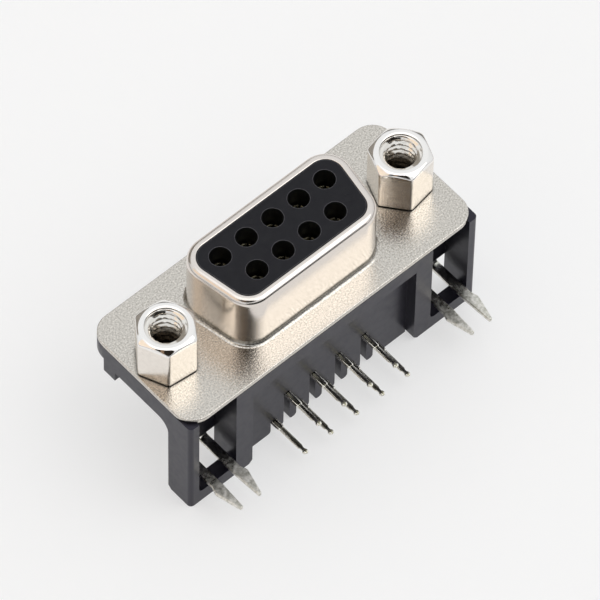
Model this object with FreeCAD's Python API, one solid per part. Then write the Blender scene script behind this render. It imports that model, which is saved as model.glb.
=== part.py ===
import FreeCAD, Part
import math
import os

# Nine-way socket D-sub connector for a circuit board, lying on its back.
# Millimetres. The origin is the centre of the D at the front face of the metal flange.
# +X runs along the flange, +Z is the mating direction and the board lies on the -Y side.

V = FreeCAD.Vector
X_AXIS = V(1, 0, 0)
Z_AXIS = V(0, 0, 1)
CUT_MARGIN = 1.0

# Contacts, five in the row away from the board and four in the row near it
contact_pitch = 2.77
row_spacing = 2.84
far_row_count = 5
near_row_count = 4
barrel_diameter = 1.50
barrel_bore_diameter = 1.04
barrel_tip_depth = 1.90
barrel_base_height = 0.90
barrel_floor = 0.84
tine_root_height = 1.94
tine_slot_width = 0.22
tine_slot_turn = 38.0
leg_width = 0.60
leg_thickness = 0.28
leg_bend_radius = 0.45
near_tail_depth = 7.84
tail_row_spacing = 2.84
tail_length = 3.00
far_shoulder_step = -0.20
near_shoulder_step = 0.40
blade_width = 0.42
shoulder_length = 0.25
tip_neck_width = 0.30
tip_neck_length = 0.22

# Front shell: one drawn sheet with a flange and a D-shaped skirt
shell_end_margin = 2.625
shell_width = 7.90
shell_side_angle = 10.0
shell_corner_radius = 2.30
shell_height = 6.14
shell_wall = 0.40
shell_rim_radius = 0.55
shell_lip = 0.78
shell_root_radius = 0.38
least_corner_radius = 0.20
sheet_thickness = 0.45
flange_width = 12.50
flange_end_margin = 2.91
flange_corner_radius = 1.90

# Jackscrews and the round nuts behind them, with a small unified thread
screw_to_shell = 4.33
thread_diameter = 2.84
thread_minor_diameter = 2.30
hex_across_flats = 4.76
hex_height = 4.75
hex_crown_diameter = 4.40
hex_crown_angle = 30.0
hex_mouth_diameter = 3.50
hex_bore_depth = 4.20
left_hex_turn = -6.3
right_hex_turn = 8.8
nut_diameter = 4.50
nut_thickness = 1.60
nut_chamfer = 0.25
shank_beyond_nut = 0.45
shank_end_chamfer = 0.25

# Front insulator, moulded to hold the contacts
hole_diameter = 1.84
insulator_shoulder = 1.00
insulator_shoulder_rim = 0.90
insulator_tail_depth = 3.60

# Right-angle bracket, one moulding behind the flange
rear_overhang = 1.47
plate_depth = 2.05
plate_corner_radius = 1.90
post_corner_radius = 0.40
ear_depth = 2.65
stop_rib_width = 1.35
stop_rib_depth = 3.80
comb_recess = 1.05
window_width = 3.95
inner_post_width = 1.75
post_root_radius = 1.20
bar_height = 1.40
bar_setback = 1.35
window_wall_thickness = 0.45
window_wall_overlap = 0.40
window_wall_rise = 1.15
window_corner_radius = 0.50
post_end_chamfer = 0.35
tooth_radius = 0.32
gusset_width = 1.20
gusset_reach = 4.20
gusset_drop = 5.35

# Board locks, each one folded strip with a pair of barbed prongs
lock_thickness = 0.40
lock_bend_radius = 0.30
lock_leaf_width = 5.00
lock_leaf_rim = 0.79
lock_leaf_clearance = 0.55
lock_neck_length = 0.77
lock_leaf_corner_radius = 0.80
prong_gap = 1.34
prong_width = 0.85
prong_barb = 0.22
prong_length = 4.05
prong_taper_length = 2.60
prong_tip_width = 0.30
prong_tip_splay = 0.15
fork_rise = 1.25

# Clearances between the pieces
fit_clearance = 0.04
screw_clearance = 0.14
slot_clearance = 0.03
nut_clearance = 0.42

# Values that follow from the sizes above
shell_length = (far_row_count - 1) * contact_pitch + 2 * shell_end_margin
screw_x = shell_length / 2 + screw_to_shell
flange_length = 2 * (screw_x + flange_end_margin)
thread_radius = thread_diameter / 2
far_row_y = row_spacing / 2
near_row_y = -row_spacing / 2
far_tail_depth = near_tail_depth + tail_row_spacing
bracket_rear_depth = far_tail_depth + rear_overhang
half_bracket = flange_length / 2
foot_front_y = -flange_width / 2
strap_back_y = -nut_diameter / 2 - nut_clearance
strap_front_y = strap_back_y - lock_thickness
foot_back_y = strap_front_y - slot_clearance - window_wall_thickness
leaf_near_y = strap_back_y + lock_neck_length
leaf_far_y = thread_radius + screw_clearance + lock_leaf_rim
ear_pad_far_y = leaf_far_y + lock_leaf_clearance
window_inner_x = screw_x - window_width / 2
window_outer_x = screw_x + window_width / 2
inner_post_half_span = window_inner_x - inner_post_width
tail_tip_y = foot_front_y - tail_length
prong_depth = near_tail_depth + tail_row_spacing / 2
prong_tip_y = foot_front_y - prong_length
prong_barb_y = prong_tip_y + prong_taper_length
strap_half_width = prong_gap / 2 + prong_width


def box(x0, x1, y0, y1, z0, z1):
    """A block between two opposite corners."""
    return Part.makeBox(x1 - x0, y1 - y0, z1 - z0, V(x0, y0, z0))


def rod(radius, x, y, z0, z1):
    """An upright cylinder."""
    return Part.makeCylinder(radius, z1 - z0, V(x, y, z0), Z_AXIS)


def screw_hole(x, z0, z1):
    """The cutter for a clear hole round a jackscrew's shank, through one layer."""
    return rod(thread_radius + screw_clearance, x, 0, z0 - CUT_MARGIN, z1 + CUT_MARGIN)


def prism(points, direction):
    """A straight-sided outline given by its corners, extruded."""
    wire = Part.makePolygon(points + [points[0]])
    return Part.Face(wire).extrude(direction)


def edges_where(shape, test):
    """The edges of a solid whose middle point passes a test."""
    chosen = []
    for edge in shape.Edges:
        middle = edge.valueAt((edge.FirstParameter + edge.LastParameter) / 2)
        if test(edge, middle):
            chosen.append(edge)
    return chosen


def upright(edge):
    """True for a straight edge along Z."""
    bounds = edge.BoundBox
    return bounds.XLength < 1e-6 and bounds.YLength < 1e-6


def mirrored(shape):
    """The same shape on the other end of the connector."""
    return shape.mirror(V(0, 0, 0), X_AXIS)


def rounded_corner_path(corners, radii):
    """A closed wire of lines and tangent arcs through a loop of corners."""
    edges = []
    joints = []
    count = len(corners)
    for i in range(count):
        corner = corners[i]
        before = (corners[i - 1] - corner).normalize()
        after = (corners[(i + 1) % count] - corner).normalize()
        half = before.getAngle(after) / 2
        radius = radii[i]
        if radius <= 0:
            joints.append((corner, None, corner))
            continue
        trim = radius / math.tan(half)
        bisector = (before + after).normalize()
        centre = corner + bisector * (radius / math.sin(half))
        joints.append((corner + before * trim, centre - bisector * radius, corner + after * trim))
    for i in range(count):
        start, middle, end = joints[i]
        if middle is not None:
            edges.append(Part.Arc(start, middle, end).toShape())
        following = joints[(i + 1) % count][0]
        if (following - end).Length > 1e-6:
            edges.append(Part.LineSegment(end, following).toShape())
    return Part.Wire(edges)


def d_outline(inset, z):
    """The D of the shell, moved inwards by an inset: wide side on +Y, both ends sloping."""
    slope = math.radians(shell_side_angle)
    wide_half_angle = math.radians(90 - shell_side_angle) / 2
    overrun = shell_corner_radius * (1 / math.tan(wide_half_angle) - 1)
    wide = shell_length / 2 + overrun
    half_width = shell_width / 2
    middle = wide - half_width * math.tan(slope) - inset / math.cos(slope)
    half = half_width - inset
    radius = max(shell_corner_radius - inset, least_corner_radius)
    lean = half * math.tan(slope)
    corners = [
        V(middle + lean, half, z),
        V(-middle - lean, half, z),
        V(-middle + lean, -half, z),
        V(middle - lean, -half, z),
    ]
    return rounded_corner_path(corners, [radius] * 4)


def d_prism(inset, z0, z1):
    """A D-shaped block."""
    return Part.Face(d_outline(inset, z0)).extrude(V(0, 0, z1 - z0))


def contact_places():
    """Name, place and row of every contact, numbered from the far row's left end."""
    places = []
    for row_y, count in ((far_row_y, far_row_count), (near_row_y, near_row_count)):
        for i in range(count):
            x = (i - (count - 1) / 2) * contact_pitch
            places.append(("contact_%d" % (len(places) + 1), x, row_y))
    return places


def make_front_shell():
    """Flange and D skirt drawn from one sheet, with a rounded rim turned in at the top."""
    plate = box(-flange_length / 2, flange_length / 2, -flange_width / 2, flange_width / 2,
                -sheet_thickness, 0)
    plate = plate.makeFillet(flange_corner_radius, edges_where(plate, lambda e, m: upright(e)))
    shell = plate.fuse(d_prism(0, -sheet_thickness, shell_height)).removeSplitter()

    def at_root(edge, middle):
        flat = edge.BoundBox.ZLength < 1e-6 and abs(middle.z) < 1e-6
        inside = abs(middle.x) < screw_x and abs(middle.y) < (shell_width + flange_width) / 4
        return flat and inside

    shell = shell.makeFillet(shell_root_radius, edges_where(shell, at_root))
    rim = edges_where(shell, lambda e, m: e.BoundBox.ZLength < 1e-6 and abs(m.z - shell_height) < 1e-6)
    shell = shell.makeFillet(shell_rim_radius, rim)

    hollow = d_prism(shell_wall, -sheet_thickness - CUT_MARGIN, shell_height - shell_wall)
    mouth = d_prism(shell_lip, -sheet_thickness, shell_height + CUT_MARGIN)
    shell = shell.cut([hollow, mouth])
    for side in (-1, 1):
        shell = shell.cut(screw_hole(side * screw_x, -sheet_thickness, 0))
    return shell


def make_front_insulator():
    """The D block that fills the shell: a nose through the lip, a shoulder behind the flange, nine bores."""
    wall = shell_wall + fit_clearance
    step = shell_height - shell_wall - fit_clearance
    shoulder_top = -sheet_thickness
    shoulder_low = shoulder_top - insulator_shoulder
    core = d_prism(wall, shoulder_low, step)
    nose = d_prism(shell_lip + fit_clearance, shoulder_low, shell_height)
    shoulder = d_prism(-insulator_shoulder_rim, shoulder_low, shoulder_top)
    tail = d_prism(wall, -insulator_tail_depth, shoulder_low)
    block = core.fuse([nose, shoulder, tail]).removeSplitter()

    seat = -barrel_base_height
    cuts = []
    for name, x, y in contact_places():
        cuts.append(rod(hole_diameter / 2, x, y, seat, shell_height + CUT_MARGIN))
        half = leg_width / 2 + slot_clearance
        flat = leg_thickness / 2 + slot_clearance
        cuts.append(box(x - half, x + half, y - flat, y + flat, -insulator_tail_depth - CUT_MARGIN, seat))
    return block.cut(cuts)


def barrel(x, y):
    """The socket sleeve of a contact, split into two tines."""
    tip = shell_height - barrel_tip_depth
    base = -barrel_base_height
    sleeve = rod(barrel_diameter / 2, x, y, base, tip)
    bore = rod(barrel_bore_diameter / 2, x, y, base + barrel_floor, tip + CUT_MARGIN)
    slot = box(x - barrel_diameter, x + barrel_diameter, y - tine_slot_width / 2, y + tine_slot_width / 2,
               base + tine_root_height, tip + CUT_MARGIN)
    slot.rotate(V(x, y, 0), Z_AXIS, tine_slot_turn)
    return sleeve.cut([bore, slot])


def bent_leg(x, y, tail_depth, shoulder_y):
    """The flat strip behind a barrel, bent square towards the board and ending at its shoulder."""
    half = leg_thickness / 2
    outer = leg_bend_radius + leg_thickness
    left = x - leg_width / 2
    corners = [
        V(left, y + half, -barrel_base_height),
        V(left, y - half, -barrel_base_height),
        V(left, y - half, -tail_depth + half),
        V(left, shoulder_y, -tail_depth + half),
        V(left, shoulder_y, -tail_depth - half),
        V(left, y + half, -tail_depth - half),
    ]
    wire = rounded_corner_path(corners, [0, 0, leg_bend_radius, 0, 0, outer])
    return Part.Face(wire).extrude(V(leg_width, 0, 0))


def tail_blade(x, tail_depth, shoulder_y):
    """The narrow end of a contact that enters the board, with sloping shoulders and a round tip."""
    z = -tail_depth - leg_thickness / 2
    wide = leg_width / 2
    slim = blade_width / 2
    neck = tip_neck_width / 2
    tip_radius = blade_width / 2
    tip_y = tail_tip_y + tip_radius
    neck_end = tip_y + math.sqrt(tip_radius ** 2 - neck ** 2)
    neck_start = neck_end + tip_neck_length
    shoulder_end = shoulder_y - shoulder_length
    side = [
        V(x + wide, shoulder_y, z),
        V(x + slim, shoulder_end, z),
        V(x + slim, neck_start + tip_neck_length, z),
        V(x + neck, neck_start, z),
        V(x + neck, neck_end, z),
    ]
    other = [V(2 * x - p.x, p.y, z) for p in reversed(side)]
    edges = [Part.LineSegment(a, b).toShape() for a, b in zip(side, side[1:])]
    edges.append(Part.Arc(side[-1], V(x, tail_tip_y, z), other[0]).toShape())
    edges += [Part.LineSegment(a, b).toShape() for a, b in zip(other, other[1:])]
    edges.append(Part.LineSegment(other[-1], side[0]).toShape())
    return Part.Face(Part.Wire(edges)).extrude(V(0, 0, leg_thickness))


def make_contact(x, y):
    """One contact: split socket barrel, bent leg and board tail in one piece."""
    far = y > 0
    tail_depth = far_tail_depth if far else near_tail_depth
    shoulder_y = foot_front_y - (far_shoulder_step if far else near_shoulder_step)
    leg = bent_leg(x, y, tail_depth, shoulder_y)
    blade = tail_blade(x, tail_depth, shoulder_y)
    return barrel(x, y).fuse([leg, blade]).removeSplitter()


def bracket_plate():
    """The upright wall behind the flange, with thicker ears and a stop rib on each."""
    front = -sheet_thickness
    plate = box(-half_bracket, half_bracket, foot_front_y, -foot_front_y, -plate_depth, front)
    far = edges_where(plate, lambda e, m: upright(e) and m.y > 0)
    plate = plate.makeFillet(plate_corner_radius, far)
    for side in (-1, 1):
        x0, x1 = sorted([side * half_bracket, side * inner_post_half_span])
        plate = plate.fuse(box(x0, x1, foot_front_y, ear_pad_far_y, -ear_depth, -plate_depth))
        rib = box(x0, x1, ear_pad_far_y, ear_pad_far_y + stop_rib_width, -stop_rib_depth, -plate_depth)
        plate = plate.fuse(rib)
    return plate


def comb():
    """The slotted foot between the posts, with one slot for each tail, open at the rear."""
    y0 = foot_front_y + comb_recess
    span = inner_post_half_span
    foot = box(-span, span, y0, foot_back_y, -bracket_rear_depth, -plate_depth)
    half = leg_width / 2 + slot_clearance
    cuts = []
    for name, x, y in contact_places():
        tail_depth = far_tail_depth if y > 0 else near_tail_depth
        top = -tail_depth + leg_thickness / 2 + slot_clearance
        cuts.append(box(x - half, x + half, y0 - CUT_MARGIN, foot_back_y + CUT_MARGIN,
                        -bracket_rear_depth - CUT_MARGIN, top))
    foot = foot.cut(cuts)

    def tooth_corner(edge, middle):
        along = edge.BoundBox.XLength < 1e-6 and edge.BoundBox.ZLength < 1e-6
        return along and abs(middle.z + bracket_rear_depth) < 1e-6 and abs(middle.x) < span - 0.01

    return foot.makeFillet(tooth_radius, edges_where(foot, tooth_corner))


def end_frame():
    """The right end's two posts, the bar across their ends, the window and the wall at its back."""
    rear = -bracket_rear_depth
    frame = box(inner_post_half_span, half_bracket, foot_front_y, foot_back_y, rear, -plate_depth)
    bar_top = rear + bar_height
    window = box(window_inner_x, window_outer_x, foot_front_y - CUT_MARGIN, foot_back_y + CUT_MARGIN,
                 bar_top, -sheet_thickness + CUT_MARGIN)
    low = edges_where(window, lambda e, m: e.BoundBox.YLength > 1 and abs(m.z - bar_top) < 1e-6)
    window = window.makeFillet(window_corner_radius, low)
    behind_bar = box(window_inner_x, window_outer_x, foot_back_y - bar_setback, foot_back_y + CUT_MARGIN,
                     rear - CUT_MARGIN, bar_top + window_corner_radius)
    frame = frame.cut([window, behind_bar])

    def at_post_end(edge, middle):
        side = abs(middle.x - inner_post_half_span) < 1e-6
        back = abs(middle.y - foot_back_y) < 1e-6 and middle.x > window_outer_x
        return abs(middle.z - rear) < 1e-6 and (side or back)

    return frame.makeChamfer(post_end_chamfer, edges_where(frame, at_post_end))


def window_wall():
    """The wall across the back of the right window, between the posts and the board lock."""
    return box(window_inner_x - window_wall_overlap, window_outer_x + window_wall_overlap,
               foot_back_y, foot_back_y + window_wall_thickness,
               -prong_depth + window_wall_rise, -plate_depth)


def post_root(x0, x1):
    """A rounded root between an ear and the back of a post."""
    y0 = foot_back_y
    z1 = -ear_depth
    corner = box(x0, x1, y0, y0 + post_root_radius, z1 - post_root_radius, z1)
    scoop = Part.makeCylinder(post_root_radius, x1 - x0 + 2 * CUT_MARGIN,
                              V(x0 - CUT_MARGIN, y0 + post_root_radius, z1 - post_root_radius), X_AXIS)
    return corner.cut(scoop)


def gusset():
    """The three-cornered rib that stiffens the right inner post."""
    x = inner_post_half_span
    points = [
        V(x, foot_back_y, -ear_depth),
        V(x, foot_back_y + gusset_reach, -ear_depth),
        V(x, foot_back_y, -ear_depth - gusset_drop),
    ]
    return prism(points, V(gusset_width, 0, 0))


def make_bracket():
    """Plate, comb and both end frames as one moulding."""
    right = end_frame().fuse([window_wall(), post_root(window_outer_x, half_bracket), gusset()])
    bracket = bracket_plate().fuse([comb(), right, mirrored(right)]).removeSplitter()

    def at_foot_corner(edge, middle):
        at_end = abs(abs(middle.x) - half_bracket) < 1e-6
        return upright(edge) and at_end and abs(middle.y - foot_front_y) < 1e-6

    bracket = bracket.makeFillet(post_corner_radius, edges_where(bracket, at_foot_corner))
    front = -sheet_thickness
    for side in (-1, 1):
        x0, x1 = sorted([side * window_inner_x, side * window_outer_x])
        notch = box(x0, x1, foot_front_y - CUT_MARGIN, foot_back_y,
                    -ear_depth - CUT_MARGIN, front + CUT_MARGIN)
        bracket = bracket.cut([notch, screw_hole(side * screw_x, -ear_depth, front)])
    shoulder_low = front - insulator_shoulder
    pocket = d_prism(-insulator_shoulder_rim - fit_clearance, shoulder_low, front + CUT_MARGIN)
    passage = d_prism(shell_wall, -stop_rib_depth - CUT_MARGIN, front)
    return bracket.cut([pocket, passage]).removeSplitter()


def hexagon(across_flats, x, z0, z1, turn):
    """A hexagonal prism on a screw's axis, with a corner at the given turn from +X."""
    radius = across_flats / math.sqrt(3)
    points = []
    for i in range(6):
        angle = math.radians(turn + 60 * i)
        points.append(V(x + radius * math.cos(angle), radius * math.sin(angle), z0))
    return prism(points, V(0, 0, z1 - z0))


def crown(across_flats, face_diameter, x, z0, z1):
    """A turned blank, coned at its top, that rounds off a hexagon's upper corners."""
    corner = across_flats / math.sqrt(3) + CUT_MARGIN
    face = face_diameter / 2
    drop = (corner - face) * math.tan(math.radians(hex_crown_angle))
    profile = [V(0, 0, z0), V(corner, 0, z0), V(corner, 0, z1 - drop), V(face, 0, z1), V(0, 0, z1)]
    wire = Part.makePolygon(profile + [profile[0]])
    blank = Part.Face(wire).revolve(V(0, 0, 0), Z_AXIS, 360)
    blank.translate(V(x, 0, 0))
    return blank


def make_jackscrew(side, turn):
    """Hexagonal jackscrew: crowned head with a countersunk threaded bore, and a shank to the nut."""
    x = side * screw_x
    head = hexagon(hex_across_flats, x, 0, hex_height, turn)
    head = head.common(crown(hex_across_flats, hex_crown_diameter, x, 0, hex_height))
    shank_end = -ear_depth - lock_thickness - nut_thickness - shank_beyond_nut
    shank = rod(thread_radius, x, 0, shank_end, 0)
    end = edges_where(shank, lambda e, m: e.BoundBox.ZLength < 1e-6 and abs(m.z - shank_end) < 1e-6)
    shank = shank.makeChamfer(shank_end_chamfer, end)
    bore = rod(thread_minor_diameter / 2, x, 0, hex_height - hex_bore_depth, hex_height + CUT_MARGIN)
    sink = (hex_mouth_diameter - thread_minor_diameter) / 2
    mouth = Part.makeCone(thread_minor_diameter / 2, hex_mouth_diameter / 2, sink,
                          V(x, 0, hex_height - sink), Z_AXIS)
    return head.fuse(shank).cut([bore, mouth]).removeSplitter()


def make_nut(side):
    """Round nut behind the board lock's leaf, chamfered at its free face."""
    x = side * screw_x
    top = -ear_depth - lock_thickness
    low = top - nut_thickness
    nut = rod(nut_diameter / 2, x, 0, low, top)
    end = edges_where(nut, lambda e, m: e.BoundBox.ZLength < 1e-6 and abs(m.z - low) < 1e-6)
    nut = nut.makeChamfer(nut_chamfer, end)
    bore = rod(thread_radius + fit_clearance, x, 0, low - CUT_MARGIN, top + CUT_MARGIN)
    return nut.cut(bore)


def strip_profile(x):
    """Side outline of a board lock: leaf under the ear, drop behind the window, prongs to the board."""
    t = lock_thickness
    leaf_top = -ear_depth
    prong_top = -prong_depth + t / 2
    inner = lock_bend_radius
    outer = lock_bend_radius + t
    corners = [
        V(x, leaf_far_y, leaf_top),
        V(x, strap_front_y, leaf_top),
        V(x, strap_front_y, prong_top),
        V(x, prong_tip_y, prong_top),
        V(x, prong_tip_y, prong_top - t),
        V(x, strap_back_y, prong_top - t),
        V(x, strap_back_y, leaf_top - t),
        V(x, leaf_far_y, leaf_top - t),
    ]
    return rounded_corner_path(corners, [0, outer, inner, 0, 0, outer, inner, 0])


def prong_outline(x, side, z):
    """Plan of one prong beside a fork's centre line: straight inside, barbed outside."""
    inner = prong_gap / 2
    outer = strap_half_width
    tip_inner = inner + prong_tip_splay
    root = strap_back_y + CUT_MARGIN
    plan = [
        (inner, root),
        (inner, prong_barb_y),
        (tip_inner, prong_tip_y),
        (tip_inner + prong_tip_width, prong_tip_y),
        (outer + prong_barb, prong_barb_y - prong_barb),
        (outer, prong_barb_y + prong_width / 2),
        (outer, root),
    ]
    return [V(x + side * across, y, z) for across, y in plan]


def make_boardlock(side):
    """One folded strip: leaf with a screw hole, drop and a forked pair of barbed prongs."""
    x = side * screw_x
    left = x - lock_leaf_width / 2
    strip = Part.Face(strip_profile(left)).extrude(V(lock_leaf_width, 0, 0))
    leaf_low = -ear_depth - lock_thickness
    leaf = box(left, left + lock_leaf_width, leaf_near_y, leaf_far_y, leaf_low, -ear_depth)
    leaf = leaf.makeFillet(lock_leaf_corner_radius, edges_where(leaf, lambda e, m: upright(e)))
    fork_top = -prong_depth + fork_rise
    strap = box(x - strap_half_width, x + strap_half_width, foot_back_y,
                leaf_near_y + lock_leaf_corner_radius, fork_top, -ear_depth)
    fork_low = -prong_depth - CUT_MARGIN
    prongs = [prism(prong_outline(x, way, fork_low), V(0, 0, fork_top - fork_low)) for way in (-1, 1)]
    lock = strip.common(leaf.fuse([strap] + prongs))
    return lock.cut(screw_hole(x, leaf_low, -ear_depth)).removeSplitter()


def write_part(name, shape):
    """One closed solid, saved under its node's name."""
    solids = shape.Solids
    if len(solids) != 1:
        raise ValueError("%s has %d solids" % (name, len(solids)))
    solid = solids[0]
    if not solid.isValid():
        raise ValueError("%s is not valid" % name)
    solid.exportStep(os.path.join("parts", name + ".step"))
    print("%-18s volume %8.3f faces %d" % (name, solid.Volume, len(solid.Faces)))


def main():
    os.makedirs("parts", exist_ok=True)
    write_part("front_shell", make_front_shell())
    write_part("front_insulator", make_front_insulator())
    for name, x, y in contact_places():
        write_part(name, make_contact(x, y))
    write_part("bracket", make_bracket())
    for end, side, turn in (("left", -1, left_hex_turn), ("right", 1, right_hex_turn)):
        write_part("jackscrew_" + end, make_jackscrew(side, turn))
        write_part("boardlock_" + end, make_boardlock(side))
        write_part("nut_" + end, make_nut(side))


main()
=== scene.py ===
import math
from collections import namedtuple

import bmesh
import bpy
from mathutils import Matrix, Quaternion, Vector


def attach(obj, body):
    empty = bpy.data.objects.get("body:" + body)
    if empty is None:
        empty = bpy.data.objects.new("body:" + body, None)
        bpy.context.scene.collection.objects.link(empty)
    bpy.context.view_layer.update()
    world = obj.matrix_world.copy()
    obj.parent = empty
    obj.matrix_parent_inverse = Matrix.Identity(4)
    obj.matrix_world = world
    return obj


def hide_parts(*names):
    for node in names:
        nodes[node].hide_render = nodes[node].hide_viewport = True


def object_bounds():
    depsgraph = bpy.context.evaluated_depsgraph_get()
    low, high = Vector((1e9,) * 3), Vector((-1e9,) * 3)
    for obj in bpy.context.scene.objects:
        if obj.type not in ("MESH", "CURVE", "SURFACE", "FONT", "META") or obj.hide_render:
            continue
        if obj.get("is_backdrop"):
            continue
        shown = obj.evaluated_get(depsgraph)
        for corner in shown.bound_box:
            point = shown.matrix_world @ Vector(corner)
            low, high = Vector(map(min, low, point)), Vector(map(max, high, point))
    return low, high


MM = 0.001

# Sizes in millimetres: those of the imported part, and small relief that only the scene has
contact_pitch = 2.77
row_spacing = 2.84
barrel_radius = 0.75
barrel_bore_radius = 0.52
barrel_base = -0.90
barrel_floor = -0.06
barrel_points = 32
tine_root = 1.04
barrel_tip = 4.24
tine_slot = 0.22
tine_turn = math.radians(38)
tine_steps = 14
leg_half = 0.30
leg_thickness = 0.28
bend_radius = 0.59
bend_steps = 8
near_depth = 7.84
far_depth = 10.68
near_shoulder = -6.65
far_shoulder = -6.05
shoulder_length = 0.12
blade_half = 0.24
blade_sink = 0.06
groove_depth = 0.10
blade_groove = groove_depth * 0.6
neck_half = 0.15
neck_length = 0.22
neck_groove = 0.02
rim_rounding = 0.10
rim_share = 0.4         # the most of a thin section that its rims may take
round_share = 0.9       # the same where the section is round
tail_tip = -9.25
tip_radius = 0.25
tip_rings = 7
tip_divisions = 6.4     # over a quarter turn; the last ring stops short of the very tip
tip_thinning = 0.8      # power by which the bead thins towards its end
tip_centre = tail_tip + tip_radius
neck_end = tip_centre + math.sqrt(tip_radius ** 2 - neck_half ** 2)
neck_start = neck_end + neck_length

screw_x = 12.495
hex_flats = 4.76
hex_top = 4.75
hex_crown = 2.18
hex_rounding = 0.36
hex_edge = 0.10
hex_foot = 0.14
hex_mouth = 1.75
hex_turns = {"left": math.radians(-6.3), "right": math.radians(8.8)}
crown_angle = math.radians(30)
crown_slope = math.tan(crown_angle)
crown_sine = 0.5
mouth_groove = 0.08
mouth_wall = 0.22
mouth_inner = hex_mouth - 0.04
mouth_slope = 1.80
bore_minor = 1.26
bore_thread = 0.25
bore_floor = 0.55
bore_steps = 84
thread_major = 1.42
thread_minor = 1.15
thread_pitch = 0.635
thread_flat = 0.14      # of half a pitch: flat in the valley, and as much on the crest
thread_flank = 0.72     # of half a pitch: the slope between them
shank_end = -5.10
shank_taper = 0.25
shank_steps = 26
nut_top = -3.05
nut_low = -4.65
nut_radius = 2.25
nut_bore = 1.46
nut_chamfer = 0.25
knurl_points = 144
knurl_period = 4
knurl_depth = 0.05
thread_top = nut_low + 0.10     # where the shank's thread ends, just inside the nut

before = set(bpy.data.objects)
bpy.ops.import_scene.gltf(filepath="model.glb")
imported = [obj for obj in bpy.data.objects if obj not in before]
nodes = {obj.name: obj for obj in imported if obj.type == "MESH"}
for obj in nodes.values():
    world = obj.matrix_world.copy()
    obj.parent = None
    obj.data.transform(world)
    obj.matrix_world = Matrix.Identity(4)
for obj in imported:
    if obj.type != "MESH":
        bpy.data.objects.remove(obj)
low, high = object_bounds()


# Materials, with lengths in metres

mottle_range = (0.30, 0.70)     # nearly all of a noise's values lie between these
wear_and_highlight_facing = (0.99, 0.88)      # how far a rounded normal agrees with the true one, for the lighter edges: wear and painted highlight
painted_shade_open = (0.75, 0.40)        # how open a place is, from the open to deep in a corner, for the painted shade
mask_samples = 6
metal_fineness = 2.3            # how many times finer the second noise is
plastic_fineness = 8.0
worn_grain = 0.1                # share of the grain that is left on a worn edge
painted_shade_level = 0.12               # share of the dark mottle's brightness that the painted shade in a crevice keeps
ring_width = 0.06 * MM
ring_depth = 0.00004
plastic_tint = (0.84, 0.82, 1.0, 1.0)
MIX_MASK, MIX_FIRST, MIX_SECOND, MIX_RESULT = 0, 6, 7, 2    # a Mix node's colour sockets

# A part of a surface that lies past a level along one axis of its object
Zone = namedtuple("Zone", "axis level fade colour grain_kept rough_kept")


def new_material(name):
    """A material with its shader."""
    material = bpy.data.materials.new(name)
    material.use_nodes = True
    return material, material.node_tree.nodes["Principled BSDF"]


def noise(tree, scale, detail):
    """Procedural noise over the object's own coordinates."""
    coords = tree.nodes.new("ShaderNodeTexCoord")
    texture = tree.nodes.new("ShaderNodeTexNoise")
    texture.inputs["Scale"].default_value = scale
    texture.inputs["Detail"].default_value = detail
    texture.inputs["Roughness"].default_value = 0.5
    tree.links.new(coords.outputs["Object"], texture.inputs["Vector"])
    return texture.outputs["Fac"]


def ramp(tree, value, stops):
    """A colour ramp over a value."""
    node = tree.nodes.new("ShaderNodeValToRGB")
    elements = node.color_ramp.elements
    while len(elements) < len(stops):
        elements.new(0.5)
    for element, (place, colour) in zip(elements, stops):
        element.position = place
        element.color = (*colour, 1.0)
    tree.links.new(value, node.inputs["Fac"])
    return node.outputs["Color"]


def mottled(tree, value, dark, bright):
    """A colour that goes from dark to bright over the range of a noise."""
    return ramp(tree, value, list(zip(mottle_range, (dark, bright))))


def span(tree, value, low_in, high_in, low_out, high_out):
    """A value moved from one range to another, and held inside it."""
    node = tree.nodes.new("ShaderNodeMapRange")
    node.inputs["From Min"].default_value = low_in
    node.inputs["From Max"].default_value = high_in
    node.inputs["To Min"].default_value = low_out
    node.inputs["To Max"].default_value = high_out
    tree.links.new(value, node.inputs["Value"])
    return node.outputs["Result"]


def combine(tree, operation, first, second):
    """Two values joined by an operation of a Math node."""
    node = tree.nodes.new("ShaderNodeMath")
    node.operation = operation
    tree.links.new(first, node.inputs[0])
    tree.links.new(second, node.inputs[1])
    return node.outputs["Value"]


def scaled(tree, value, mask, share):
    """A value that is multiplied by a share where a mask is 1."""
    return combine(tree, "MULTIPLY", value, span(tree, mask, 0.0, 1.0, 1.0, share))


def blend_colours(tree, mask, first, second):
    """Mixes a plain second colour over a first one where a mask is 1."""
    mix = tree.nodes.new("ShaderNodeMix")
    mix.data_type = "RGBA"
    tree.links.new(mask, mix.inputs[MIX_MASK])
    tree.links.new(first, mix.inputs[MIX_FIRST])
    mix.inputs[MIX_SECOND].default_value = (*second, 1.0)
    return mix.outputs[MIX_RESULT]


def bump(tree, layers):
    """Surface relief from several heights, each with its own depth."""
    normal = None
    for height, depth in layers:
        node = tree.nodes.new("ShaderNodeBump")
        node.inputs["Distance"].default_value = depth
        node.inputs["Strength"].default_value = 1.0
        tree.links.new(height, node.inputs["Height"])
        if normal is not None:
            tree.links.new(normal, node.inputs["Normal"])
        normal = node.outputs["Normal"]
    return normal


def edge_mask(tree, radius):
    """1 along the edges of a shape and 0 on its faces."""
    bevel = tree.nodes.new("ShaderNodeBevel")
    bevel.samples = mask_samples
    bevel.inputs["Radius"].default_value = radius
    geometry = tree.nodes.new("ShaderNodeNewGeometry")
    dot = tree.nodes.new("ShaderNodeVectorMath")
    dot.operation = "DOT_PRODUCT"
    tree.links.new(bevel.outputs["Normal"], dot.inputs[0])
    tree.links.new(geometry.outputs["Normal"], dot.inputs[1])
    return span(tree, dot.outputs["Value"], *wear_and_highlight_facing, 0.0, 1.0)


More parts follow.
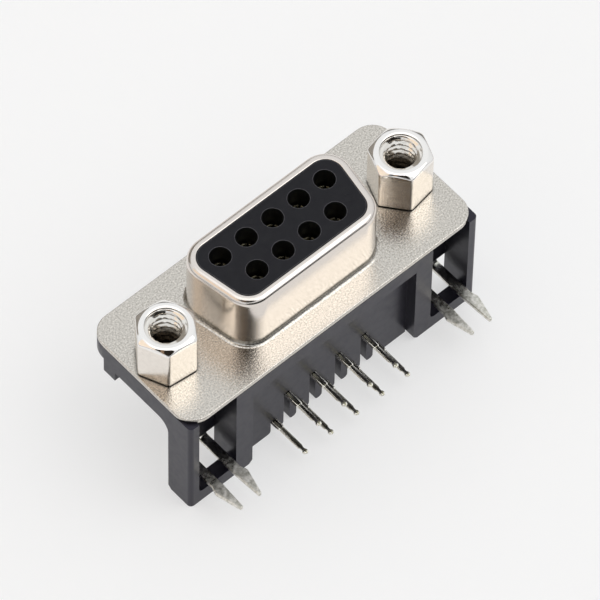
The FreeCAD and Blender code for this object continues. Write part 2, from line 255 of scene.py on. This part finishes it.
def painted_shade_mask(tree, reach):
    """1 deep in the corner between two surfaces and 0 in the open; it sets where shade is painted
    into the colour.
    """
    hollow = tree.nodes.new("ShaderNodeAmbientOcclusion")
    hollow.samples = mask_samples
    hollow.inputs["Distance"].default_value = reach
    return span(tree, hollow.outputs["AO"], *painted_shade_open, 0.0, 1.0)


def beyond(tree, axis, level, fade):
    """1 past a level along one of the object's own axes, and 0 before it."""
    coords = tree.nodes.new("ShaderNodeTexCoord")
    split = tree.nodes.new("ShaderNodeSeparateXYZ")
    tree.links.new(coords.outputs["Object"], split.inputs["Vector"])
    return span(tree, split.outputs[axis], level - fade, level + fade, 0.0, 1.0)


def metal(name, dark, bright, edge, rough, grain, relief, wear_and_highlight_width,
          zone=None, burr=1.0, painted_shade_reach=0.00028):
    """A plated metal: mottled colour and gloss, fine grain, lighter edges that are partly worn
    and partly a painted highlight, and painted shade that darkens its crevices.

    rough goes from the dark mottle to the bright one, and grain counts the mottles in a
    metre. relief is the grain's depth. The edge width sets how wide a lighter edge is, and
    the crevice reach how far the painted shade spreads from a crevice. burr tells how many
    times rougher a lighter edge is. Inside a zone the surface has the zone's colour, if it
    gives one, and a share of the grain and of the roughness.
    """
    material, shader = new_material(name)
    tree = material.node_tree
    mottle = noise(tree, grain, 2.0)
    fine = noise(tree, grain * metal_fineness, 1.0)
    # Lighter edge colour: partly worn plating, partly a painted highlight.
    wear_and_highlight = edge_mask(tree, wear_and_highlight_width)
    colour = blend_colours(tree, wear_and_highlight, mottled(tree, mottle, dark, bright), edge)
    gloss = scaled(tree, span(tree, mottle, *mottle_range, *rough), wear_and_highlight, burr)
    heights = [scaled(tree, height, wear_and_highlight, worn_grain) for height in (mottle, fine)]
    if zone is not None:
        inside = beyond(tree, zone.axis, zone.level, zone.fade)
        if zone.colour is not None:
            colour = blend_colours(tree, inside, colour, zone.colour)
        gloss = scaled(tree, gloss, inside, zone.rough_kept)
        heights = [scaled(tree, height, inside, zone.grain_kept) for height in heights]
    # Painted shade: the colour turns dark in crevices and corners, where shade falls.
    painted_shade_colour = tuple(channel * painted_shade_level for channel in dark)
    colour = blend_colours(tree, painted_shade_mask(tree, painted_shade_reach), colour, painted_shade_colour)
    tree.links.new(colour, shader.inputs["Base Color"])
    tree.links.new(gloss, shader.inputs["Roughness"])
    shader.inputs["Metallic"].default_value = 1.0
    tree.links.new(bump(tree, list(zip(heights, (relief, relief * 0.5)))),
                   shader.inputs["Normal"])
    return material


def ring_mark(tree, x, y, radius):
    """1 on a thin ring about an upright line, placed in millimetres."""
    coords = tree.nodes.new("ShaderNodeTexCoord")
    flat = tree.nodes.new("ShaderNodeVectorMath")
    flat.operation = "MULTIPLY"
    tree.links.new(coords.outputs["Object"], flat.inputs[0])
    flat.inputs[1].default_value = (1.0, 1.0, 0.0)
    away = tree.nodes.new("ShaderNodeVectorMath")
    away.operation = "DISTANCE"
    tree.links.new(flat.outputs["Vector"], away.inputs[0])
    away.inputs[1].default_value = (x * MM, y * MM, 0.0)
    ring = tree.nodes.new("ShaderNodeMath")
    ring.operation = "COMPARE"
    tree.links.new(away.outputs["Value"], ring.inputs[0])
    ring.inputs[1].default_value = radius * MM
    ring.inputs[2].default_value = ring_width
    return ring.outputs["Value"]


def plastic(name, dark, bright, edge, rough, grain, relief, sheen, wear_and_highlight_width, marks=()):
    """A moulded plastic: faint mottling, fine spark texture and lighter edges, partly worn and
    partly a painted highlight.
    """
    material, shader = new_material(name)
    tree = material.node_tree
    mottle = noise(tree, grain, 3.0)
    fine = noise(tree, grain * plastic_fineness, 2.0)
    # Lighter edge colour: partly wear, partly a painted highlight.
    colour = blend_colours(tree, edge_mask(tree, wear_and_highlight_width), mottled(tree, mottle, dark, bright), edge)
    tree.links.new(colour, shader.inputs["Base Color"])
    tree.links.new(span(tree, mottle, *mottle_range, *rough), shader.inputs["Roughness"])
    shader.inputs["Specular IOR Level"].default_value = sheen
    shader.inputs["Specular Tint"].default_value = plastic_tint
    heights = [(mottle, relief * 2), (fine, relief)]
    heights += [(ring_mark(tree, *mark), ring_depth) for mark in marks]
    tree.links.new(bump(tree, heights), shader.inputs["Normal"])
    return material


metals = {
    "shell_nickel": dict(
        dark=(0.43, 0.405, 0.365), bright=(0.76, 0.722, 0.66), edge=(0.96, 0.95, 0.93),
        rough=(0.15, 0.25), grain=7200.0, relief=0.000013, wear_and_highlight_width=0.00012,
        zone=Zone("Z", 0.0006, 0.0003, (0.77, 0.715, 0.665), 0.03, 0.8),
        burr=2.4, painted_shade_reach=0.00048),
    "screw_nickel": dict(
        dark=(0.83, 0.775, 0.71), bright=(0.90, 0.845, 0.78), edge=(0.92, 0.91, 0.89),
        rough=(0.20, 0.24), grain=2500.0, relief=0.0000006, wear_and_highlight_width=0.00004,
        zone=Zone("Z", 0.0043, 0.0001, (0.93, 0.905, 0.875), 1.0, 0.3)),
    # The bore is painted dark as shade deep inside it; near the mouth the zone gives the plain
    # nickel colour.
    "bore_nickel_painted_shade": dict(
        dark=(0.08, 0.065, 0.05), bright=(0.16, 0.13, 0.10), edge=(0.30, 0.28, 0.25),
        rough=(0.16, 0.24), grain=2500.0, relief=0.000001, wear_and_highlight_width=0.00004,
        zone=Zone("Z", 0.0022, 0.0007, (0.90, 0.86, 0.80), 0.5, 0.6)),
    "lock_tin": dict(
        dark=(0.50, 0.49, 0.42), bright=(0.92, 0.90, 0.85), edge=(0.96, 0.95, 0.93),
        rough=(0.30, 0.46), grain=3600.0, relief=0.0000024, wear_and_highlight_width=0.00012,
        zone=Zone("Y", -0.0066, 0.0014, None, 2.0, 0.50)),
    # Above the board the barrels in the holes take a dull olive: the plating's own colour,
    # darkened as painted shade.
    "contact_tin": dict(
        dark=(0.72, 0.70, 0.62), bright=(0.92, 0.90, 0.84), edge=(0.95, 0.94, 0.92),
        rough=(0.16, 0.28), grain=3600.0, relief=0.0000016, wear_and_highlight_width=0.00003,
        zone=Zone("Z", -0.0012, 0.0003, (0.58, 0.53, 0.35), 1.0, 0.9)),
    # The groove's floor is a darker olive tin: painted shade along the channel.
    "groove_tin_painted_shade": dict(
        dark=(0.30, 0.29, 0.21), bright=(0.48, 0.46, 0.36), edge=(0.70, 0.68, 0.60),
        rough=(0.12, 0.22), grain=3000.0, relief=0.000001, wear_and_highlight_width=0.00003),
}
plastics = {
    # The insulator's light edge colour rings its holes with a painted highlight.
    "insulator_black": dict(
        dark=(0.006, 0.0062, 0.0055), bright=(0.010, 0.0105, 0.010), edge=(0.15, 0.15, 0.16),
        rough=(0.40, 0.50), grain=1500.0, relief=0.0000015, sheen=0.25, wear_and_highlight_width=0.00009,
        marks=((5.80, -1.13, 0.36), (-1.53, 2.34, 0.30))),
    "bracket_charcoal": dict(
        dark=(0.006, 0.0055, 0.0095), bright=(0.011, 0.0100, 0.0170),
        edge=(0.034, 0.033, 0.042),
        rough=(0.28, 0.38), grain=1500.0, relief=0.0000015, sheen=0.46, wear_and_highlight_width=0.00008),
}
finishes = {name: metal(name, **look) for name, look in metals.items()}
finishes.update({name: plastic(name, **look) for name, look in plastics.items()})

slots = {
    "front_shell": "shell_nickel", "front_insulator": "insulator_black",
    "bracket": "bracket_charcoal", "jackscrew": "screw_nickel", "nut": "screw_nickel",
    "boardlock": "lock_tin", "contact": "contact_tin",
}


def slot_of(name):
    """The finish of a subcomponent, by the start of its name."""
    return next(finish for start, finish in slots.items() if name.startswith(start))


# Own pieces, in millimetres

own_sharp = math.radians(30)


def make_piece(name, body, replaced, inner=None):
    """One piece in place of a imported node.

    inner is a second finish and the numbers of the faces that have it.
    """
    mesh = bpy.data.meshes.new(name)
    mesh.from_pydata([(x * MM, y * MM, z * MM) for x, y, z in body.points], [], body.faces)
    mesh.validate()
    shape = bmesh.new()
    shape.from_mesh(mesh)
    bmesh.ops.recalc_face_normals(shape, faces=shape.faces)
    shape.to_mesh(mesh)
    shape.free()
    mesh.shade_smooth()
    mesh.set_sharp_from_angle(angle=own_sharp)
    piece = bpy.data.objects.new(name, mesh)
    bpy.context.scene.collection.objects.link(piece)
    finish = slot_of(replaced)
    mesh.materials.append(finishes[finish])
    if inner is not None:
        inner_finish, inner_faces = inner
        mesh.materials.append(finishes[inner_finish])
        for polygon in mesh.polygons:
            if polygon.index in inner_faces:
                polygon.material_index = 1
    weighted = piece.modifiers.new("weighted", "WEIGHTED_NORMAL")
    weighted.keep_sharp = True
    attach(piece, "root")
    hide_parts(replaced)


class Solid:
    """Points and faces gathered ring by ring."""

    def __init__(self):
        self.points = []
        self.faces = []

    def ring(self, points):
        """Adds a ring of points and gives their numbers."""
        start = len(self.points)
        self.points += points
        return list(range(start, start + len(points)))

    def skin(self, rings, loop=False):
        """Joins rings of equal count; the ends are capped, or meet each other in a loop."""
        pairs = list(zip(rings, rings[1:]))
        if loop:
            pairs.append((rings[-1], rings[0]))
        count = len(rings[0])
        for one, two in pairs:
            for i in range(count):
                j = (i + 1) % count
                self.faces.append((one[i], one[j], two[j], two[i]))
        if not loop:
            self.faces.append(tuple(reversed(rings[0])))
            self.faces.append(tuple(rings[-1]))


def circle(x, y, radius, z, count):
    """Points of a level circle."""
    step = 2 * math.pi / count
    return [(x + radius * math.cos(i * step), y + radius * math.sin(i * step), z)
            for i in range(count)]


def about(centre, angles, spots):
    """Points about an upright line at an X, from a radius and a height for each angle."""
    return [(centre + radius * math.cos(angle), radius * math.sin(angle), z)
            for angle, (radius, z) in zip(angles, spots)]


def hex_radius(angle, turn):
    """Distance from a hexagon's centre to its side, with filleted corners."""
    sixth, twelfth = math.pi / 3, math.pi / 6
    apothem = hex_flats / 2
    away = (angle - turn) % sixth - twelfth
    lean = math.cos(twelfth)
    reach = (apothem - hex_rounding) / lean
    off = twelfth - abs(away)
    tangent = math.atan2(hex_rounding / 2, reach + hex_rounding * lean)
    if off < tangent:
        return (reach * math.cos(off)
                + math.sqrt(hex_rounding ** 2 - (reach * math.sin(off)) ** 2))
    return apothem / math.cos(away)


def hex_angles(turn):
    """Angles round a hexagon, closer together near its corners."""
    near = (0.014, 0.028, 0.045, 0.07, 0.13, 0.25, 0.38)
    offsets = [0.0, *near, math.pi / 6] + [math.pi / 3 - offset for offset in reversed(near)]
    return [turn + corner * math.pi / 3 + offset for corner in range(6) for offset in offsets]


def thread_height(angle, z):
    """0 in a right-hand thread's valley and 1 on its crest."""
    phase = (z / thread_pitch - angle / (2 * math.pi)) % 1.0
    wave = abs(2 * phase - 1)
    return min(1.0, max(0.0, (wave - thread_flat) / thread_flank))


def crown_height(radius):
    """Height of the head, which is flat inside the crown and slopes down outside it."""
    return hex_top - max(0.0, radius - hex_crown) * crown_slope


def shank_spots(angles):
    """The threaded end of the shank with its tapered start, and the plain length above."""
    levels = []
    for i in range(shank_steps + 1):
        z = shank_end + (thread_top - shank_end) * i / shank_steps
        widest = thread_major - max(0.0, 1 - (z - shank_end) / shank_taper) * shank_taper
        level = []
        for angle in angles:
            crest = thread_height(angle, z)
            radius = thread_minor + (thread_major - thread_minor) * crest
            level.append((min(radius, widest), z))
        levels.append(level)
    for z in (thread_top + 0.05, 0.0):
        levels.append([(thread_major, z)] * len(angles))
    return levels


def head_spots(hexagon):
    """The head from its foot to its flat face, from the hexagon's radius at each angle."""
    levels = []
    for inset, z in ((hex_foot + 0.05, 0.0), (hex_foot, 0.05), (0.03, hex_foot - 0.03),
                     (0.0, hex_foot)):
        levels.append([(radius - inset, z) for radius in hexagon])
    # The rounding between a side and the crown, from the side at 0 to the crown at 1
    edge_inset = hex_edge * math.cos(crown_angle)
    for share in (0.0, 0.25, 0.5, 0.75):
        inset = edge_inset * share ** 2
        rise = hex_edge * (crown_sine * share ** 2 - (1 - share) ** 2)
        levels.append([(radius - inset, crown_height(radius) + rise) for radius in hexagon])
    # The crown's slope, inwards
    for share in (1.0, 0.6, 0.2):
        slope = [hex_crown + (radius - edge_inset - hex_crown) * share for radius in hexagon]
        levels.append([(radius, crown_height(radius)) for radius in slope])
    for radius, z in ((hex_crown, hex_top - 0.012), (hex_crown - 0.05, hex_top),
                      (hex_mouth + 0.05, hex_top), (hex_mouth + 0.015, hex_top - 0.015)):
        levels.append([(radius, z)] * len(hexagon))
    return levels


def bore_spots(angles):
    """The mouth with its groove, and the threaded bore down to its floor."""
    levels = []
    for radius, drop in ((hex_mouth, 0.05), (hex_mouth, 0.10),
                         (hex_mouth + mouth_groove, 0.13),
                         (hex_mouth + mouth_groove, mouth_wall - 0.03),
                         (mouth_inner, mouth_wall)):
        levels.append([(radius, hex_top - drop)] * len(angles))
    floor_rounding = 0.05
    threaded = hex_top - bore_floor - mouth_wall - floor_rounding
    for i in range(1, bore_steps + 1):
        z = hex_top - mouth_wall - threaded * i / bore_steps
        cone = mouth_inner - max(0.0, hex_top - mouth_wall - z) * mouth_slope
        wall = max(bore_minor, cone)
        levels.append([(wall + bore_thread * (1 - thread_height(angle, z)), z)
                       for angle in angles])
    levels.append([(bore_minor - floor_rounding, bore_floor)] * len(angles))
    return levels


def make_jackscrew(side, centre):
    """Crowned hexagonal head with a threaded bore, and a threaded shank."""
    turn = hex_turns[side]
    angles = hex_angles(turn)
    outside = shank_spots(angles) + head_spots([hex_radius(angle, turn) for angle in angles])
    body = Solid()
    body.skin([body.ring(about(centre, angles, spots))
               for spots in outside + bore_spots(angles)])
    # The bore's faces take the finish with painted shade.
    bore_faces = set(range(len(outside) * len(angles), len(body.faces)))
    make_piece("jackscrew_%s_turned" % side, body, "jackscrew_" + side,
               ("bore_nickel_painted_shade", bore_faces))


def make_nut(side, centre):
    """Round collar with a fine straight knurl and a chamfer at its free face."""
    angles = [2 * math.pi * i / knurl_points for i in range(knurl_points)]
    body = Solid()
    rings = []
    for radius, z, knurl in (
        (nut_bore, nut_top, 0.0),
        (nut_radius - 0.10, nut_top, 0.0),
        (nut_radius - 0.03, nut_top - 0.05, 0.0),
        (nut_radius, nut_top - 0.14, knurl_depth),
        (nut_radius, nut_low + nut_chamfer + 0.04, knurl_depth),
        (nut_radius - 0.04, nut_low + nut_chamfer - 0.02, 0.0),
        (nut_radius - nut_chamfer, nut_low + 0.02, 0.0),
        (nut_radius - nut_chamfer - 0.05, nut_low, 0.0),
        (nut_bore + 0.10, nut_low, 0.0),
        (nut_bore, nut_low + 0.10, 0.0),
    ):
        spots = [(radius - (knurl if i % knurl_period < knurl_period / 2 else 0.0), z)
                 for i in range(knurl_points)]
        rings.append(body.ring(about(centre, angles, spots)))
    body.skin(rings, loop=True)
    make_piece("nut_%s_knurled" % side, body, "nut_" + side)


def add_tine(body, x, y, start, end):
    """One tine: a closed sector of the barrel's sleeve with a softened tip."""
    profile = [
        (barrel_radius, tine_root),
        (barrel_radius, barrel_tip - 0.08),
        (barrel_radius - 0.03, barrel_tip - 0.02),
        (barrel_radius - 0.08, barrel_tip),
        (barrel_bore_radius + 0.10, barrel_tip),
        (barrel_bore_radius + 0.03, barrel_tip - 0.05),
        (barrel_bore_radius, barrel_tip - 0.14),
        (barrel_bore_radius, tine_root),
    ]
    rings = []
    for i in range(tine_steps + 1):
        angle = start + (end - start) * i / tine_steps
        rings.append(body.ring([(x + radius * math.cos(angle), y + radius * math.sin(angle), z)
                                for radius, z in profile]))
    body.skin(rings)


def add_barrel(body, x, y):
    """The barrel's closed base with the end of its bore, and two tines on it."""
    body.skin([
        body.ring(circle(x, y, radius, z, barrel_points)) for radius, z in (
            (barrel_radius - 0.05, barrel_base),
            (barrel_radius, barrel_base + 0.05),
            (barrel_radius, tine_root),
            (barrel_bore_radius, tine_root),
            (barrel_bore_radius, barrel_floor + 0.1),
            (barrel_bore_radius * 0.5, barrel_floor),
        )])
    gap = math.asin(tine_slot / 2 / barrel_radius)
    for way in (0, math.pi):
        start = tine_turn + way + gap
        add_tine(body, x, y, start, start + math.pi - 2 * gap)


# A station of a leg: its place along Y, its height, how far the leg has turned towards the
# board, half its width, the groove's depth and how far its upper face is sunk
Station = namedtuple("Station", "place z turn half groove sink")


def leg_path(y):
    """Stations from the barrel down, round the bend and out to the tip of the tail."""
    depth, shoulder = (far_depth, far_shoulder) if y > 0 else (near_depth, near_shoulder)
    path = [Station(y, barrel_base, 0.0, leg_half, groove_depth, 0.0),
            Station(y, -depth + bend_radius, 0.0, leg_half, groove_depth, 0.0)]
    for i in range(1, bend_steps + 1):
        turn = math.pi / 2 * i / bend_steps
        path.append(Station(y - bend_radius * (1 - math.cos(turn)),
                            -depth + bend_radius * (1 - math.sin(turn)),
                            turn, leg_half, groove_depth, 0.0))
    tail = [
        (shoulder, leg_half, groove_depth, 0.0),
        (shoulder - 0.03, leg_half - 0.03, groove_depth, 0.01),
        (shoulder - shoulder_length, blade_half, blade_groove, blade_sink),
        (neck_start + neck_length, blade_half, blade_groove, blade_sink),
        (neck_start, neck_half, neck_groove, blade_sink),
        (neck_end, neck_half, 0.0, 0.0),
    ]
    neck_turn = math.acos(neck_half / tip_radius)
    turns = [-neck_turn * (1 - i / 3.0) for i in (1, 2)]
    turns += [math.pi / 2 * i / tip_divisions for i in range(tip_rings)]
    for turn in turns:
        tail.append((tip_centre - tip_radius * math.sin(turn), tip_radius * math.cos(turn),
                     0.0, 0.0))
    return path + [Station(place, -depth, math.pi / 2, half, groove, sink)
                   for place, half, groove, sink in tail]


def leg_section(half, thickness, groove, soft, sink):
    """A flat strip with round rims and a pressed groove along its upper face.

    The last side is the floor of the groove.
    """
    top = thickness / 2 - sink
    bottom = -thickness / 2
    under = min(0.05, thickness / 2)
    inner = half - soft - 0.01
    rim_steps = 4
    side = [(max(0.02, inner - groove), top - groove), (inner, top)]
    for i in range(rim_steps + 1):
        angle = math.pi / 2 * i / rim_steps
        side.append((half - soft + soft * math.sin(angle), top - soft + soft * math.cos(angle)))
    side += [(half, bottom + under), (half - under, bottom)]
    return side + [(-u, v) for u, v in reversed(side)]


def leg_ring(x, station):
    """Points of the leg's section, set square to its path. The tip is round both ways."""
    half = station.half
    thickness = leg_thickness
    soft = min(rim_rounding, half * rim_share, thickness * rim_share)
    if station.groove == 0.0:
        if station.place < tip_centre:
            thickness = leg_thickness * (half / tip_radius) ** tip_thinning
        soft = min(half, thickness / 2) * round_share
    along, up = -math.cos(station.turn), math.sin(station.turn)
    return [(x + u, station.place + along * v, station.z + up * v)
            for u, v in leg_section(half, thickness, station.groove, soft, station.sink)]


def make_contact(name, x, y):
    """Split socket barrel, bent leg with a pressed groove and a board tail with a round tip."""
    body = Solid()
    add_barrel(body, x, y)
    first = len(body.faces)
    rings = [body.ring(leg_ring(x, station)) for station in leg_path(y)]
    body.skin(rings)
    sides = len(rings[0])
    # The groove's floor takes the darker finish, painted shade.
    pressed = {first + i * sides - 1 for i in range(1, len(rings))}
    make_piece(name + "_stamped", body, name, ("groove_tin_painted_shade", pressed))


number = 0
for row_y, count in ((row_spacing / 2, 5), (-row_spacing / 2, 4)):
    for i in range(count):
        number += 1
        make_contact("contact_%d" % number, (i - (count - 1) / 2) * contact_pitch, row_y)
for side, centre in (("left", -screw_x), ("right", screw_x)):
    make_jackscrew(side, centre)
    make_nut(side, centre)


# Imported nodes: finishes, and rounded edges on those that have no piece of their own

edge_rounding = {    # in millimetres
    "front_shell": 0.14, "front_insulator": 0.06, "bracket": 0.09,
    "boardlock_left": 0.10, "boardlock_right": 0.10,
}
packed_sharp = math.radians(28)
rounded_edge = math.radians(32)
flat_joint = math.radians(0.6)
same_point = 0.000002
rounding_segments = 3

for name, node in nodes.items():
    finish = slot_of(name)
    node.data.materials.clear()
    node.data.materials.append(finishes[finish])
    node.data.shade_smooth()
    node.data.set_sharp_from_angle(angle=packed_sharp)
    if name in edge_rounding:
        merge = node.modifiers.new("merge", "WELD")
        merge.merge_threshold = same_point
        flats = node.modifiers.new("flats", "DECIMATE")
        flats.decimate_type = "DISSOLVE"
        flats.angle_limit = flat_joint
        rounding = node.modifiers.new("rounding", "BEVEL")
        rounding.width = edge_rounding[name] * MM
        rounding.segments = rounding_segments
        rounding.limit_method = "ANGLE"
        rounding.angle_limit = rounded_edge
        rounding.harden_normals = False
        weighted = node.modifiers.new("weighted", "WEIGHTED_NORMAL")
        weighted.keep_sharp = False


# Floor, cards, world and lamp, in metres

def flat_sheet(name, corners, colour, rough):
    """A sheet of plain material that only sets the stage."""
    mesh = bpy.data.meshes.new(name)
    mesh.from_pydata(corners, [], [tuple(range(len(corners)))])
    sheet = bpy.data.objects.new(name, mesh)
    bpy.context.scene.collection.objects.link(sheet)
    material, shader = new_material(name)
    shader.inputs["Base Color"].default_value = (*colour, 1.0)
    shader.inputs["Roughness"].default_value = rough
    shader.inputs["Specular IOR Level"].default_value = 0.2
    mesh.materials.append(material)
    sheet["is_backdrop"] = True
    return material.node_tree, shader


def lift(tree, shader, share, level):
    """Gives a material a share of plain brightness that only camera and reflections see."""
    path = tree.nodes.new("ShaderNodeLightPath")
    seen = path.outputs["Is Camera Ray"]
    for other in ("Is Glossy Ray", "Is Transmission Ray"):
        seen = combine(tree, "ADD", seen, path.outputs[other])
    glow = tree.nodes.new("ShaderNodeEmission")
    glow.inputs["Color"].default_value = (level, level, level, 1.0)
    mix = tree.nodes.new("ShaderNodeMixShader")
    tree.links.new(span(tree, seen, 0.0, 1.0, 0.0, share), mix.inputs["Fac"])
    tree.links.new(shader.outputs["BSDF"], mix.inputs[1])
    tree.links.new(glow.outputs["Emission"], mix.inputs[2])
    tree.links.new(mix.outputs["Shader"], tree.nodes["Material Output"].inputs["Surface"])


square = [(-1, -1), (1, -1), (1, 1), (-1, 1)]
oval = [(x, y) for x, y, _ in circle(0.0, 0.0, 1.0, 0.0, 32)]


def card(name, direction, distance, width, height, colour, outline=square, glow=0.0):
    """A plain card that faces the object from outside the picture, for it to reflect."""
    ahead = Vector(direction).normalized()
    side = Vector((0, 0, 1)).cross(ahead).normalized() * width / 2
    rise = ahead.cross(side).normalized() * height / 2
    centre = ahead * distance
    corners = [tuple(centre + side * across + rise * up) for across, up in outline]
    _, shader = flat_sheet(name, corners, colour, 0.8)
    shader.inputs["Emission Color"].default_value = (*colour, 1.0)
    shader.inputs["Emission Strength"].default_value = glow


reach = 3.0
floor_colour = 0.96
floor = [(x * reach, y * reach, low.z) for x, y in square]
lift(*flat_sheet("floor", floor, (floor_colour,) * 3, 0.6), 0.55, floor_colour)
card("dark_opening", (-0.20, -0.97, 0.28), 0.95, 1.3, 0.50, (0.02, 0.018, 0.016))
card("dark_round", (-0.393, -0.366, 0.843), 0.80, 0.62, 0.50, (0.022, 0.016, 0.011), oval)
card("amber_card", (-0.465, -0.269, 0.843), 0.78, 0.09, 0.50, (0.34, 0.23, 0.145))
card("tan_card", (-0.66, 0.20, 0.72), 1.0, 0.80, 0.55, (1.0, 0.85, 0.70), glow=0.35)
card("grey_card", (-0.05, 0.93, 0.36), 1.0, 0.9, 0.6, (0.42, 0.39, 0.35))

# The world's colour by height: 0 at the horizon and below, 1 straight up
sky_colours = [
    (0.0, (0.16, 0.15, 0.14)), (0.10, (0.18, 0.17, 0.16)), (0.16, (0.72, 0.73, 0.75)),
    (0.50, (0.84, 0.86, 0.88)), (0.75, (0.90, 0.92, 0.94)), (0.88, (0.91, 0.93, 0.95)),
    (0.96, (1.40, 1.40, 1.41)),
]
world = bpy.data.worlds.new("studio")
bpy.context.scene.world = world
world.use_nodes = True
sky_tree = world.node_tree
sky = sky_tree.nodes["Background"]
sky.inputs["Strength"].default_value = 1.0
ray = sky_tree.nodes.new("ShaderNodeTexCoord")
parts = sky_tree.nodes.new("ShaderNodeSeparateXYZ")
sky_tree.links.new(ray.outputs["Generated"], parts.inputs["Vector"])
sky_tree.links.new(ramp(sky_tree, parts.outputs["Z"], sky_colours), sky.inputs["Color"])

key_data = bpy.data.lights.new("key", "AREA")
key_data.shape = "SQUARE"
key_data.size = 0.42
key_data.energy = 0.70
key_data.color = (1.0, 0.98, 0.955)
key = bpy.data.objects.new("key", key_data)
key.location = (0.24, -0.26, 0.56)
key.rotation_mode = "QUATERNION"
key.rotation_quaternion = (-Vector(key.location)).to_track_quat("-Z", "Y")
bpy.context.scene.collection.objects.link(key)
key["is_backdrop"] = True

# Camera
camera_data = bpy.data.cameras.new("camera")
camera_data.sensor_width = 36.0
camera_data.lens = 476.31
camera_data.clip_start = 0.01
camera_data.clip_end = 20.0
camera = bpy.data.objects.new("camera", camera_data)
camera.location = (-0.2315208, -0.2520609, 0.5349756)
camera.rotation_mode = "QUATERNION"
camera.rotation_quaternion = Quaternion((0.8979325, 0.2586178, -0.104664, -0.3404107))
bpy.context.scene.collection.objects.link(camera)
bpy.context.scene.camera = camera
bpy.context.scene.view_settings.view_transform = "Standard"

low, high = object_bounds()
